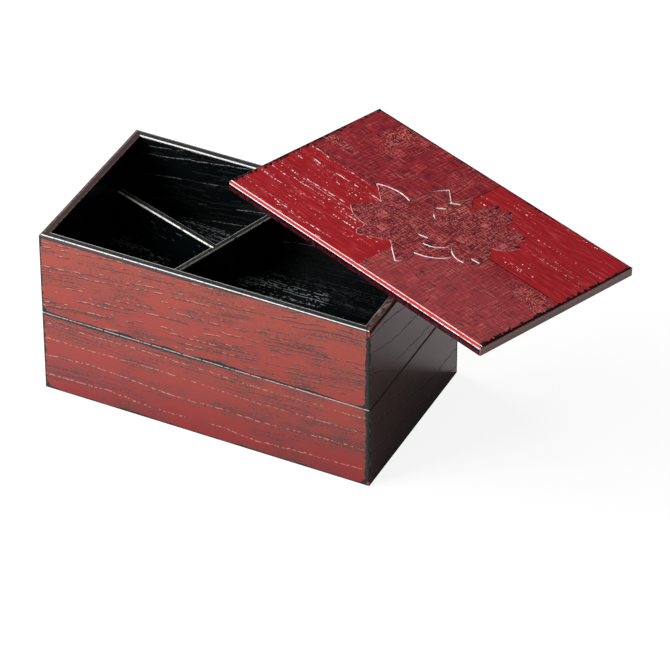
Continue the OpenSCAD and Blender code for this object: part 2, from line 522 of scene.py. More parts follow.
@dataclass(frozen=True)
class WallFinish:
    """Lacquer on one wall: coloured outside, black on the rim and inside, and worn along its edges."""

    name: str
    run: Run
    face: Colour
    face_foot_shade: Colour
    bottom: float
    height: float
    seed: float
    slope: float
    grain: GrainLook
    fleck: GrainLook
    inner_grain: GrainLook
    arris: ArrisLines
    pores: PoreTones
    foot_wear: float
    tip_rise: float
    corner_wear: float = 1.1 * MM
    right_wear: float = 2.2 * MM
    foot_ragged: float = 0.7
    top_wear: float = 1.6 * MM
    rim_round: float = 1.3 * MM
    gloss: float = 0.0
    inner_slope: float = 0.14
    undercoat: Colour = (34, 43, 41)
    tip: Colour = (206, 62, 36)
    inside: Colour = (3, 7, 8)
    inside_glint: Colour = (150, 155, 155)
    rim_dark: Colour = (16, 18, 17)
    sheen: Colour = (255, 176, 172)
    roughness: tuple[float, float] = (0.3, 0.42)

    def material(self, plan: BoxPlan, effects: Effects) -> bpy.types.Material:
        """Builds the material.

        Args:
            plan: Outside sizes of the box.
            effects: The shared node groups.

        Returns:
            The material, in the row frame's coordinates.
        """
        material, sheet, shader = new_material(self.name)
        at = self.point(sheet, effects, plan)
        long_side = self.run == Run.ALONG_X
        outward = sheet.fade(at.depth, 0.9 * MM, 0.3 * MM)
        # Wider top wear and a stronger painted shoulder towards the left end.
        wear_and_sheen = sheet.fade(at.along, -20 * MM, 40 * MM, 1.0, 0.3) if long_side else 1.0
        tone, dark, fibres = self.coloured(at)
        worn = self.worn(at, wear_and_sheen)
        coated = outward * (1.0 - worn)
        tone = sheet.mix(coated, self.bare(at, outward), tone)
        # Painted highlights along the top arrises.
        tone = self.painted_highlights(at, plan.wall, wear_and_sheen, tone)
        if long_side:
            tone = self.tipped(at, tone)
        smooth = sheet.fade(sheet.noise(at.place, 30 * MM, 3.0), 0.3, 0.7, *self.roughness)
        sheet.fill(shader, {
            "Base Color": tone,
            "Normal": sheet.bump(fibres * 0.25 - dark, 0.12 * MM, 0.6),
            "Roughness": sheet.most(smooth, dark * 0.9, worn * 0.7),
            "Specular IOR Level": 0.8 if self.gloss else 0.32,
        })
        if self.gloss:
            sheet.fill(shader, {
                "Coat Weight": (self.gloss - dark * (0.85 * self.gloss)) * coated,
                "Coat Roughness": 0.12,
                "Coat IOR": 1.6,
                "Specular Tint": srgb(*self.sheen),
            })
        return material

    def point(self, sheet: Sheet, effects: Effects, plan: BoxPlan) -> WallPoint:
        """Reads where a point of the wall lies.

        Args:
            sheet: The sheet of the material.
            effects: The shared node groups.
            plan: Outside sizes of the box.

        Returns:
            The point.
        """
        place = sheet.place()
        x, y, z = sheet.split(place)
        off_x = plan.half_length - abs(x)
        off_y = plan.half_width - abs(y)
        rise = z - self.bottom
        along, depth, end = (x, off_y, off_x) if self.run == Run.ALONG_X else (y, off_x, off_y)
        return WallPoint(sheet, effects, place, along, depth, end, rise, self.height - rise)

    def coloured(self, at: WallPoint) -> tuple[Value, Value, Value]:
        """Paints the top coat.

        Args:
            at: The point of the wall.

        Returns:
            Its colour, the mask of its dark pores and the tone of its fibres.
        """
        sheet = at.sheet
        across = at.rise - at.along * self.slope
        grain = at.grain(self.grain, across, self.seed)
        lit = at.grain(self.grain, across + self.pores.shift * MM, self.seed)["Pores"]
        flecks = at.grain(self.fleck, across, self.seed + 3.0)["Pores"]
        crowd = sheet.fade(sheet.noise(sheet.join(at.along * 0.35, across, self.seed), 12 * MM), 0.4, 0.58)
        fine = sheet.noise(sheet.join(at.along * 0.3, across, self.seed), 1.1 * MM, 3.0)
        speckle = sheet.noise(at.place, 0.7 * MM)
        rows = grain["Pores"] * self.pores.depth
        dark = sheet.most(rows, flecks * crowd)

        # Painted shade and reflection: the face is darker towards the foot and lighter towards the top.
        tone = sheet.mix(at.rise / self.height, self.face_foot_shade, self.face)
        shades = (
            sheet.fade(fine, 0.35, 0.68, 0.0, 0.1),
            sheet.fade(speckle, 0.45, 0.65, 0.0, 0.2),
            sheet.fade(speckle, 0.5, 0.6) * crowd * 0.5,
            dark * 0.85,
        )
        for shade in shades:
            tone = sheet.mix(shade, tone, self.pores.shade)
        # Painted highlights on the pores' lips, fainter towards the right end.
        sparkle = sheet.fade(sheet.noise(at.place, self.pores.dots * MM), 0.44, 0.6)
        clear = 1.0 - rows * 0.8 if self.pores.shift else 1.0
        pale_highlight = sheet.fade(at.along, -10 * MM, 50 * MM, 0.7, 0.7 * self.pores.right)
        tone = sheet.mix(lit * sparkle * clear * pale_highlight, tone, self.pores.glint)
        return tone, dark, grain["Fibres"]

    def worn(self, at: WallPoint, wear_and_sheen: Feed) -> Value:
        """Finds where the top coat is worn off along the wall's edges, round at the foot's corners.

        Args:
            at: The point of the wall.
            wear_and_sheen: How much the wall is handled there, which widens the worn top edge, from 0 to 1.

        Returns:
            The mask of what is worn.
        """
        sheet = at.sheet
        side = at.end
        if self.run == Run.ALONG_X:
            side = side - sheet.fade(at.rise, 4.5 * MM, 0.5 * MM, 0.0, 2.6 * MM)
        side_width = sheet.fade(at.along, -10 * MM, 10 * MM, self.corner_wear, self.right_wear)
        side_chips = sheet.fade(at.along, -10 * MM, 10 * MM, 0.8, 0.22)
        return worn_along(sheet, at.effects, at.place, (
            (side, side_width, 0.3, side_chips),
            (at.rise, self.foot_wear, self.foot_ragged, 0.12),
            (at.below, wear_and_sheen * self.top_wear, 0.0, 0.1),
        ))

    def bare(self, at: WallPoint, outward: Value) -> Value:
        """Paints the black lacquer inside, on the rim and where the top coat is worn off.

        Args:
            at: The point of the wall.
            outward: The mask of the wall's outer face.

        Returns:
            Its colour.
        """
        sheet = at.sheet
        seed = self.seed + 6.0
        across = at.rise - at.along * self.inner_slope
        # The inside's pores carry painted highlights.
        dots = sheet.fade(sheet.noise(sheet.join(at.along, across, seed), 1.4 * MM), 0.4, 0.6, 0.15, 0.8)
        pores = at.grain(self.inner_grain, across, seed)["Pores"] * dots
        tone = sheet.mix(outward, sheet.mix(pores, self.inside, self.inside_glint), self.undercoat)
        mottle = sheet.noise(sheet.join(at.along * 0.35, at.depth, at.rise), 1.2 * MM, 3.0)
        rim = sheet.mix(sheet.fade(mottle, 0.42, 0.68), self.rim_dark, self.arris.rim_light)
        return sheet.mix(sheet.fade(at.below, 0.8 * MM, 0.3 * MM), tone, rim)

    def painted_highlights(self, at: WallPoint, wall: float, wear_and_sheen: Feed, tone: Value) -> Value:
        """Paints highlights along the two top arrises, over a shoulder that is partly worn grey and partly a
        painted reflection.

        Args:
            at: The point of the wall.
            wall: The wall's thickness.
            wear_and_sheen: How strong the painted grey shoulder is there, from 0 to 1.
            tone: The colour so far.

        Returns:
            The rubbed colour.
        """
        sheet, arris = at.sheet, self.arris
        dots = sheet.noise(sheet.join(at.along, at.depth, self.seed), 1.6 * MM)
        broken = sheet.fade(dots, arris.gaps - 0.14, arris.gaps + 0.02)
        # The shoulder's grey is partly worn undercoat and partly a painted reflection.
        shoulder = sheet.fade(sheet.length(at.depth, at.below), self.rim_round, self.rim_round - 0.25 * MM)
        shoulder = shoulder * sheet.fade(dots, 0.25, 0.5, 0.6, 1.0) * (wear_and_sheen * arris.shoulder)
        tone = sheet.mix(shoulder, tone, arris.shoulder_tone)
        # Painted highlight along the outer arris, broken into dots.
        outer_at = arris.outer_at * MM
        drop = self.rim_round - math.sqrt(self.rim_round ** 2 - (self.rim_round - outer_at) ** 2)
        crest = sheet.length(at.depth - outer_at, at.below - drop)
        half = arris.outer_width * MM / 2
        outer = sheet.fade(crest, half + 0.1 * MM, half - 0.12 * MM) * broken
        tone = sheet.mix(outer * arris.outer, tone, arris.line_tone)
        # Painted highlight along the inner arris.
        lip = sheet.length(wall - at.depth, at.below)
        inner = sheet.fade(lip, 0.75 * MM, 0.5 * MM) * broken
        return sheet.mix(inner * arris.inner, tone, arris.inner_highlight_tone)

    def tipped(self, at: WallPoint, tone: Value) -> Value:
        """Paints the bright red tip on the wall's right corner.

        Args:
            at: The point of the wall.
            tone: The colour so far.

        Returns:
            The colour with the tip.
        """
        away = at.sheet.length(at.end, at.rise - self.tip_rise)
        red = at.sheet.fade(away, 1.5 * MM, 1.0 * MM) * at.sheet.fade(at.along, 0.0, 10 * MM)
        return at.sheet.mix(red, tone, self.tip)


@dataclass(frozen=True)
class BlackLacquer:
    """Black lacquer over open grain, as on the floors, the cleats and the divider, with painted highlights
    in its pores.
    """

    name: str
    grain: GrainLook
    seed: float
    body: Colour = (4, 8, 9)
    glint: Colour = (84, 92, 92)
    rubbed_dark: Colour = (22, 23, 22)
    rubbed_light: Colour = (58, 58, 55)
    pale_highlight: Colour = (222, 222, 216)
    sheen_tone: Colour = (16, 20, 20)
    sheen_spots: Sequence[Sequence[float]] = ()

    def material(self, effects: Effects) -> bpy.types.Material:
        """Builds the material for a level piece, in the row frame's coordinates."""
        material, sheet, shader = new_material(self.name)
        self.finish(sheet, shader, effects, sheet.place(), None)
        return material

    def plate_material(self, effects: Effects, place: Matrix, size: Vector,
                       lines: tuple[float, float]) -> bpy.types.Material:
        """Builds the material for an upright plate that is worn along its top, with painted highlights on
        its top arrises.

        Args:
            effects: The shared node groups.
            place: The plate's matrix.
            size: The plate's length, thickness and height, in metres.
            lines: Strength of the painted highlights along its front and back top arrises, from 0 to 1.

        Returns:
            The material, in the plate's own coordinates.
        """
        material, sheet, shader = new_material(self.name)
        local = local_coordinates(sheet, place)
        x, y, z = sheet.split(local)
        below = size.z - z
        mottle = sheet.fade(sheet.noise(sheet.join(x * 0.4, y, z), 1.2 * MM, 3.0), 0.4, 0.62)
        wear_and_sheen = sheet.fade(x, size.x * 0.12, -size.x * 0.1, 0.25, 1.0)
        tone = sheet.mix(mottle * wear_and_sheen, self.rubbed_dark, self.rubbed_light)
        broken = sheet.fade(sheet.noise(sheet.join(x, 0.0, 2.0), 5 * MM, 3.0), 0.34, 0.52, 0.25, 1.0)
        # Painted highlights along both top arrises.
        for sign, strength in zip((-1.0, 1.0), lines):
            arris = sheet.length(size.y / 2 - y * sign, below)
            line = sheet.fade(arris, 0.9 * MM, 0.6 * MM) * broken * strength
            tone = sheet.mix(line, tone, self.pale_highlight)
        top = sheet.fade(below, 0.9 * MM, 0.3 * MM)
        self.finish(sheet, shader, effects, local, (top, tone))
        return material

    def finish(self, sheet: Sheet, shader: bpy.types.Node, effects: Effects, place: Value,
               laid: tuple[Value, Value] | None) -> None:
        """Joins up the lacquer.

        Args:
            sheet: The sheet of the material.
            shader: Its main shader.
            effects: The shared node groups.
            place: The position, with X along the grain.
            laid: The mask and the colour of what is laid over the lacquer, if anything is.
        """
        x, y, z = sheet.split(place)
        grain = sheet.use(effects.grain, self.grain.feeds(sheet.join(x, y + z, self.seed)))
        # Painted sheen: the floor is lighter in a few patches where it mirrors the light.
        if self.sheen_spots:
            patch = patches(sheet, place, self.sheen_spots)
            body = sheet.mix(patch, self.body, self.sheen_tone)
        else:
            patch = sheet.fade(sheet.noise(place, 30 * MM), 0.42, 0.6)
            body = self.body
        # Painted highlights in the pores, only within the patches.
        tone = sheet.mix(grain["Pores"] * patch * 0.8, body, self.glint)
        if laid:
            tone = sheet.mix(laid[0], tone, laid[1])
        sheet.fill(shader, {
            "Base Color": tone,
            "Normal": sheet.bump(grain["Fibres"] * 0.6 - grain["Pores"], 0.2 * MM, 0.7),
            "Roughness": sheet.fade(sheet.noise(place, 20 * MM, 3.0), 0.3, 0.7, 0.2, 0.34),
            "Specular IOR Level": 0.25,
        })


@dataclass(frozen=True)
class BareWood:
    """Unfinished timber of the tongues inside the corners."""

    name: str
    light: Colour = (206, 176, 132)
    dark: Colour = (168, 132, 88)

    def material(self) -> bpy.types.Material:
        """Builds the material, with its grain upright."""
        material, sheet, shader = new_material(self.name)
        stretched = sheet.get("ShaderNodeMapping", {"Vector": sheet.place(), "Scale": (1.0, 1.0, 0.06)})
        rings = sheet.noise(stretched, 0.6 * MM, 3.0)
        sheet.fill(shader, {
            "Base Color": sheet.mix(rings, self.dark, self.light),
            "Normal": sheet.bump(rings, 0.05 * MM, 0.5),
            "Roughness": 0.7,
        })
        return material


def set_material(node: str, material: bpy.types.Material) -> None:
    """Puts one material in every slot of a construction piece."""
    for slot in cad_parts[node].material_slots:
        slot.material = material


def plate_place(node: str) -> Matrix:
    """Finds how a flat plate of the frame lies.

    Args:
        node: Name of the plate's node.

    Returns:
        The matrix from the plate's own axes, X along it and Z out of its top, to the row frame. Its
        origin is the middle of the plate's underside.
    """
    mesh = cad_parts[node].data
    upward = max(mesh.polygons, key=lambda face: face.area * face.normal.z)
    z_axis = upward.normal.normalized()
    level = [face for face in mesh.polygons if abs(face.normal.dot(z_axis)) < 0.001]
    y_axis = max(level, key=lambda face: face.area).normal.normalized()
    if y_axis.y < 0:
        y_axis = -y_axis
    x_axis = y_axis.cross(z_axis).normalized()
    turn = Matrix((x_axis, y_axis, z_axis)).transposed()
    low, high = plate_box(node, turn.transposed())
    middle = Vector(((low.x + high.x) / 2, (low.y + high.y) / 2, low.z))
    return Matrix.Translation(turn @ middle) @ turn.to_4x4()


def plate_box(node: str, matrix: Matrix) -> tuple[Vector, Vector]:
    """Returns the low and high corners of a plate, as seen through a matrix."""
    seen = [matrix @ vertex.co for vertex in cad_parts[node].data.vertices]
    low, high = (Vector([pick(p[i] for p in seen) for i in range(3)]) for pick in (min, max))
    return low, high


def local_coordinates(sheet: Sheet, place: Matrix) -> Value:
    """Returns Object coordinates carried over to a plate's own axes.

    Args:
        sheet: The sheet of the material.
        place: The plate's matrix.

    Returns:
        The position on the plate, in metres.
    """
    back = place.inverted()
    return sheet.get("ShaderNodeMapping", {
        "Vector": sheet.place(), "Location": back.to_translation(), "Rotation": back.to_euler("XYZ"),
    })


class Skin(Enum):
    """The finishes on the lid's panel, in the order of its material slots."""

    EDGE = 0
    PLAIN = 1
    CLOTH = 2
    WINDOW = 3
    PETAL = 4
    RIM = 5


@dataclass(frozen=True)
class LidFinish:
    """Lacquer on the lid's panel. Its sizes are in metres and its patches in millimetres."""

    effects: Effects
    place: Matrix
    half_length: float
    half_width: float
    top: float
    bevel: float
    tips: Sequence[tuple[float, float]]
    seams: tuple[float, float, float]
    plain: Colour = (158, 22, 30)
    streak: Colour = (128, 20, 28)
    shine: Colour = (188, 72, 72)
    # Painted highlights in the open pores.
    pore_highlight: Colour = (244, 222, 216)
    cloth: Colour = (152, 40, 46)
    cloth_dark: Colour = (98, 26, 34)
    cloth_light: Colour = (188, 104, 102)
    cloth_speck: Colour = (214, 136, 120)
    # The long sides' dark maroon is painted shade.
    side: Colour = (82, 22, 32)
    # The ends' grey-brown is a painted reflection of the lit floor.
    end: Colour = (150, 118, 114)
    band: Colour = (176, 30, 30)
    orange: Colour = (196, 56, 40)
    # Painted highlight on the bevels' knees and on the raised lines.
    knee: Colour = (250, 236, 236)
    # Painted highlight on the petals' front-facing edges.
    rim: Colour = (198, 128, 122)
    undercoat: Colour = (14, 12, 16)
    rough_patches: Sequence[Sequence[float]] = (
        (-68, 44, 9, 16), (-88, 14, 15, 4), (84, -6, 16, 7), (-40, 56, 20, 2),
    )
    plain_grains: tuple[GrainLook, ...] = (
        GrainLook(1.8, 1.5, 0.6, 5, 0.5),
        GrainLook(4.7, 4.5, 0.5, 5, 0.5),
        GrainLook(1.1, 0.9, 0.4, 5, 0.5),
    )

    def start(self, name: str) -> tuple[bpy.types.Material, Sheet, bpy.types.Node, Value]:
        """Returns a new material, its sheet and shader, and the position on the panel."""
        material, sheet, shader = new_material(name)
        return material, sheet, shader, local_coordinates(sheet, self.place)

    def worn_edges(self, sheet: Sheet, place: Value) -> Value:
        """Returns the mask of the black wear round the lid's top.

        Args:
            sheet: The sheet of the material.
            place: The position on the panel.

        Returns:
            The mask.
        """
        x, y, _ = sheet.split(place)
        end = self.half_length - abs(x)
        end_width = sheet.fade(x, -10 * MM, 10 * MM, 2.0 * MM, 1.5 * MM)
        back = self.half_width - y
        edges = ((end, end_width, 0.3, 1.1), (back, 2.1 * MM, 0.3, 0.2))
        return worn_along(sheet, self.effects, place, edges)

    def plain_material(self) -> bpy.types.Material:
        """Builds the plain red lacquer, with streaks and open pores along the lid, painted near-white as
        highlights.
        """
        material, sheet, shader, place = self.start("crimson lacquer")
        x, y, _ = sheet.split(place)
        cover = {"Cover": sheet.fade(x, -40 * MM, 10 * MM, 0.66, 0.5)}
        grains = []
        for count, look in enumerate(self.plain_grains):
            grains.append(sheet.use(self.effects.grain, look.feeds(sheet.join(x, y, 2.0 + count)) | cover))
        pores = sheet.most(grains[0]["Pores"], grains[1]["Pores"], grains[2]["Pores"] * 0.5)
        fibres = grains[0]["Fibres"]
        hair = sheet.noise(sheet.join(x * 70.0, y * 1500.0, 7.0), 1.0, 1.0)
        swell = sheet.noise(place, 20 * MM)
        bright = sheet.fade(sheet.noise(place, 2.2 * MM), 0.38, 0.6, 0.25, 1.0)
        tone = sheet.mix(sheet.fade(fibres, 0.38, 0.62, 0.0, 0.7), self.plain, self.streak)
        tone = sheet.mix(sheet.fade(hair, 0.52, 0.72, 0.0, 0.7), tone, self.shine)
        tone = sheet.mix(sheet.fade(swell, 0.35, 0.65, 0.0, 0.3), tone, self.streak)
        # Painted highlights: the open pores are near-white.
        tone = sheet.mix(pores * bright, tone, self.pore_highlight)
        sheet.fill(shader, {
            "Base Color": sheet.mix(self.worn_edges(sheet, place), tone, self.undercoat),
            "Normal": sheet.bump(fibres * 0.5 - pores, 0.1 * MM, 0.5),
            "Roughness": 0.32,
            "Specular IOR Level": 0.3,
        })
        return material

    def cloth_material(self, name: str, shade: float, coarse: float, bordered: bool) -> bpy.types.Material:
        """Builds the lacquered cloth.

        Args:
            name: The material's name.
            shade: Share of the dark tone that is laid over the whole, from 0 to 1.
            coarse: Least roughness of the cloth, from 0 to 1.
            bordered: Whether it is a whole field, with dark lines along its seams.

        Returns:
            The material.
        """
        material, sheet, shader, place = self.start(name)
        rough = patches(sheet, place, self.rough_patches) if bordered else coarse
        cloth = sheet.use(self.effects.cloth, {"Position": place, "Pitch": 1.1 * MM, "Roughness": rough})
        hatching = cloth["Hatching"]
        light_from, light_share = (0.68, 0.5) if bordered else (0.6, 0.75)
        tone = sheet.mix(sheet.fade(hatching, 0.74, 0.26), self.cloth, self.cloth_dark)
        tone = sheet.mix(shade, tone, self.cloth_dark)
        tone = sheet.mix(sheet.fade(hatching, light_from, 1.0, 0.0, light_share), tone, self.cloth_light)
        masks = [self.worn_edges(sheet, place), self.rubbed_tips(sheet, place)]
        if bordered:
            # Painted sheen: the cloth fields are lighter towards the lid's front edge.
            wear_and_sheen = sheet.fade(sheet.split(place)[1], 5 * MM, -25 * MM, 0.0, 0.16)
            tone = sheet.mix(wear_and_sheen, tone, self.cloth_light)
            masks.append(self.borders(sheet, place))
        tone = sheet.mix(cloth["Specks"] * 0.6, tone, self.cloth_speck)
        tone = sheet.mix(sheet.fade(hatching, 0.2, -0.05, 0.0, 0.7), tone, self.undercoat)
        pits = sheet.fade(sheet.noise(place, 3 * MM, 1.0), 0.22, 0.2)
        sheet.fill(shader, {
            "Base Color": sheet.mix(sheet.most(*masks, pits), tone, self.undercoat),
            "Normal": sheet.bump(hatching * 0.8 + cloth["Threads"], 0.12 * MM, 0.6),
            "Roughness": sheet.fade(cloth["Threads"], 0.2, 0.9, 0.5, 0.34),
            "Specular IOR Level": 0.2,
        })
        return material

    def borders(self, sheet: Sheet, place: Value) -> Value:
        """Returns the mask of the dark, broken lines where cloth meets a plain field.

        Args:
            sheet: The sheet of the material.
            place: The position on the panel.

        Returns:
            The mask.
        """
        back_seam, front_seam, cross_seam = self.seams
        x, y, _ = sheet.split(place)
        behind = sheet.math("GREATER_THAN", y, cross_seam)
        seam = behind * (back_seam - front_seam) + front_seam
        ragged = sheet.ripple(place, 2 * MM, 3.0) * (2.2 * MM)
        soft = 0.15 * MM
        masks = []
        for across, at, width, strength in ((y, cross_seam, 0.7 * MM, 0.9), (x, seam, 0.35 * MM, 0.6)):
            masks.append(sheet.fade(ragged + abs(across - at), width + soft, width - soft, 0.0, strength))
        return sheet.most(*masks)

    def rubbed_tips(self, sheet: Sheet, place: Value) -> Value:
        """Returns the mask of the black wear on the petals' tips that stand over the plain fields.

        Args:
            sheet: The sheet of the material.
            place: The position on the panel.

        Returns:
            The mask.
        """
        x, y, _ = sheet.split(place)
        ragged = sheet.ripple(place, 1.6 * MM) * (12 * MM)
        masks = []
        for tip_x, tip_y in self.tips:
            away = ragged + sheet.length(x - tip_x, y - tip_y)
            masks.append(sheet.fade(away, 2.6 * MM, 2.0 * MM, 0.0, 0.9))
        return sheet.most(*masks)

    def edge_material(self) -> bpy.types.Material:
        """Builds the lacquer of the lid's bevels, sides and underside, with painted highlights on the knees
        in front, painted shade on the long sides and a painted reflection on the ends.
        """
        material, sheet, shader, place = self.start("lid edge lacquer")
        x, y, z = sheet.split(place)
        end = self.half_length - abs(x)
        front = y + self.half_width
        low = self.top - z
        uneven = sheet.ripple(place, 2.4 * MM, 3.0) * (1.6 * MM) + low

        mottle = sheet.fade(sheet.noise(place, 2.2 * MM, 3.0), 0.42, 0.6, 0.0, 0.9)
        line = abs(uneven - (self.bevel + 0.9 * MM))
        high = sheet.fade(low, self.bevel + 0.35 * MM, self.bevel + 0.05 * MM)
        # Painted shade: the long sides are dark maroon.
        tone = sheet.mix(mottle, self.side, self.undercoat)
        tone = sheet.mix(sheet.fade(line, 0.75 * MM, 0.45 * MM, 0.0, 0.95), tone, self.undercoat)
        tone = sheet.mix(high, tone, self.band)

        # Painted reflection of the lit floor on the ends, with an orange line and black along the top.
        end_reflection_and_wear = sheet.mix(sheet.fade(low, 1.0 * MM, 5 * MM, 0.0, 0.3), self.end, self.undercoat)
        end_reflection_and_wear = sheet.mix(sheet.fade(uneven, 1.5 * MM, 1.1 * MM), end_reflection_and_wear, self.orange)
        end_reflection_and_wear = sheet.mix(sheet.fade(uneven, 0.9 * MM, 0.6 * MM), end_reflection_and_wear, self.undercoat)
        tone = sheet.mix(sheet.fade(end, 0.8 * MM, 0.4 * MM), tone, end_reflection_and_wear)

        worn = self.worn_edges(sheet, place) * sheet.fade(low, 0.9 * MM, 0.4 * MM)
        under = sheet.fade(z, 0.5 * MM, 0.1 * MM)
        tone = sheet.mix(sheet.most(worn, under), tone, self.undercoat)

        # Painted highlights along both knees of the bevel in front, broken into beads.
        upper = sheet.fade(sheet.length(front - self.bevel, low), 0.32 * MM, 0.16 * MM)
        lower = sheet.fade(sheet.length(front, low - self.bevel), 0.34 * MM, 0.18 * MM)
        least = sheet.fade(x, -60 * MM, 40 * MM, 0.85, 0.2)
        beads = sheet.fade(sheet.noise(place, 1.4 * MM), 0.36, 0.52, least, 1.0)
        knee_highlights = sheet.most(upper * sheet.math("SQRT", beads), lower * beads)
        sheet.fill(shader, {
            "Base Color": sheet.mix(knee_highlights, tone, self.knee),
            "Roughness": 0.25,
            "Specular IOR Level": 0.05,
            "Coat Weight": sheet.fade(end, 0.8 * MM, 0.4 * MM, 0.0, 0.9),
            "Coat Roughness": 0.12,
        })
        return material

    def petal_highlight_material(self) -> bpy.types.Material:
        """Builds the painted highlight on the petals' front-facing edges over the plain fields."""
        material, sheet, shader, place = self.start("petal rim lacquer")
        broken = sheet.fade(sheet.noise(place, 4 * MM), 0.35, 0.55)
        sheet.fill(shader, {"Base Color": sheet.mix(broken, self.cloth, self.rim), "Roughness": 0.4})
        return material

    def line_material(self) -> bpy.types.Material:
        """Builds the lacquer of the raised lines, with a painted highlight where they run along one
        direction.
        """
        material, sheet, shader, place = self.start("petal line lacquer")
        rubbing = sheet.get("ShaderNodeAttribute", output="Fac", attribute_name="rubbing")
        painted_highlights = rubbing * sheet.fade(sheet.noise(place, 6 * MM), 0.3, 0.5, 0.55, 1.0)
        sheet.fill(shader, {"Base Color": sheet.mix(painted_highlights, self.cloth_dark, self.knee), "Roughness": 0.25})
        return material


@dataclass(frozen=True)
class Petal:
    """One petal of a blossom, as angles from the lid's right in degrees and reaches in millimetres."""

    axis: float
    reach: float
    spread: float
    notch: float
    valley_angle: float
    valley_reach: float


@dataclass(frozen=True)
class Blossom:
    """A cherry blossom of five notched petals, in the lid's own millimetres."""

    centre: tuple[float, float]
    petals: tuple[Petal, ...]
    swell: float = 2.4
    steps: int = 8

    def at(self, angle: float, reach: float) -> Vector:
        """Returns the point at an angle in degrees and a reach from its centre."""
        turn = math.radians(angle)
        return Vector((self.centre[0] + reach * math.cos(turn), self.centre[1] + reach * math.sin(turn)))

    def side(self, start: Vector, end: Vector) -> list[Vector]:
        """Draws the swelling side of a petal.

        Args:
            start: Where it starts.
            end: Where it ends.

        Returns:
            Its points, without the end itself.
        """
        chord = end - start
        outward = Vector((chord.y, -chord.x)).normalized()
        peak = (start + end) / 2 + outward * 2 * self.swell
        points = []
        for step in range(self.steps):
            t = step / self.steps
            points.append(start * (1 - t) ** 2 + peak * 2 * t * (1 - t) + end * t * t)
        return points

    def outline(self) -> list[Vector]:
        """Returns its closed outline, anticlockwise, from the valley before its first petal."""
        points: list[Vector] = []
        valley = self.at(self.petals[-1].valley_angle, self.petals[-1].valley_reach)
        for petal in self.petals:
            first = self.at(petal.axis - petal.spread, petal.reach)
            second = self.at(petal.axis + petal.spread, petal.reach)
            after = self.at(petal.valley_angle, petal.valley_reach)
            points += self.side(valley, first)
            points += [first, self.at(petal.axis, petal.notch)]
            points += self.side(second, after)
            valley = after
        return points


def regular_blossom(centre: tuple[float, float], first_axis: float, reach: float, notch: float,
                    valley: float, spread: float) -> Blossom:
    """Makes a blossom of five equal petals.

    Args:
        centre: Its centre on the lid, in millimetres.
        first_axis: Angle of its first petal, in degrees.
        reach: How far the petals' tips reach.
        notch: How far out the notches lie.
        valley: How far out the petals meet.
        spread: Half the angle between a petal's two tips.

    Returns:
        The blossom.
    """
    step = 360 / 5
    axes = [first_axis + step * count for count in range(5)]
    petals = [Petal(axis, reach, spread, notch, axis + step / 2, valley) for axis in axes]
    return Blossom(centre, tuple(petals))


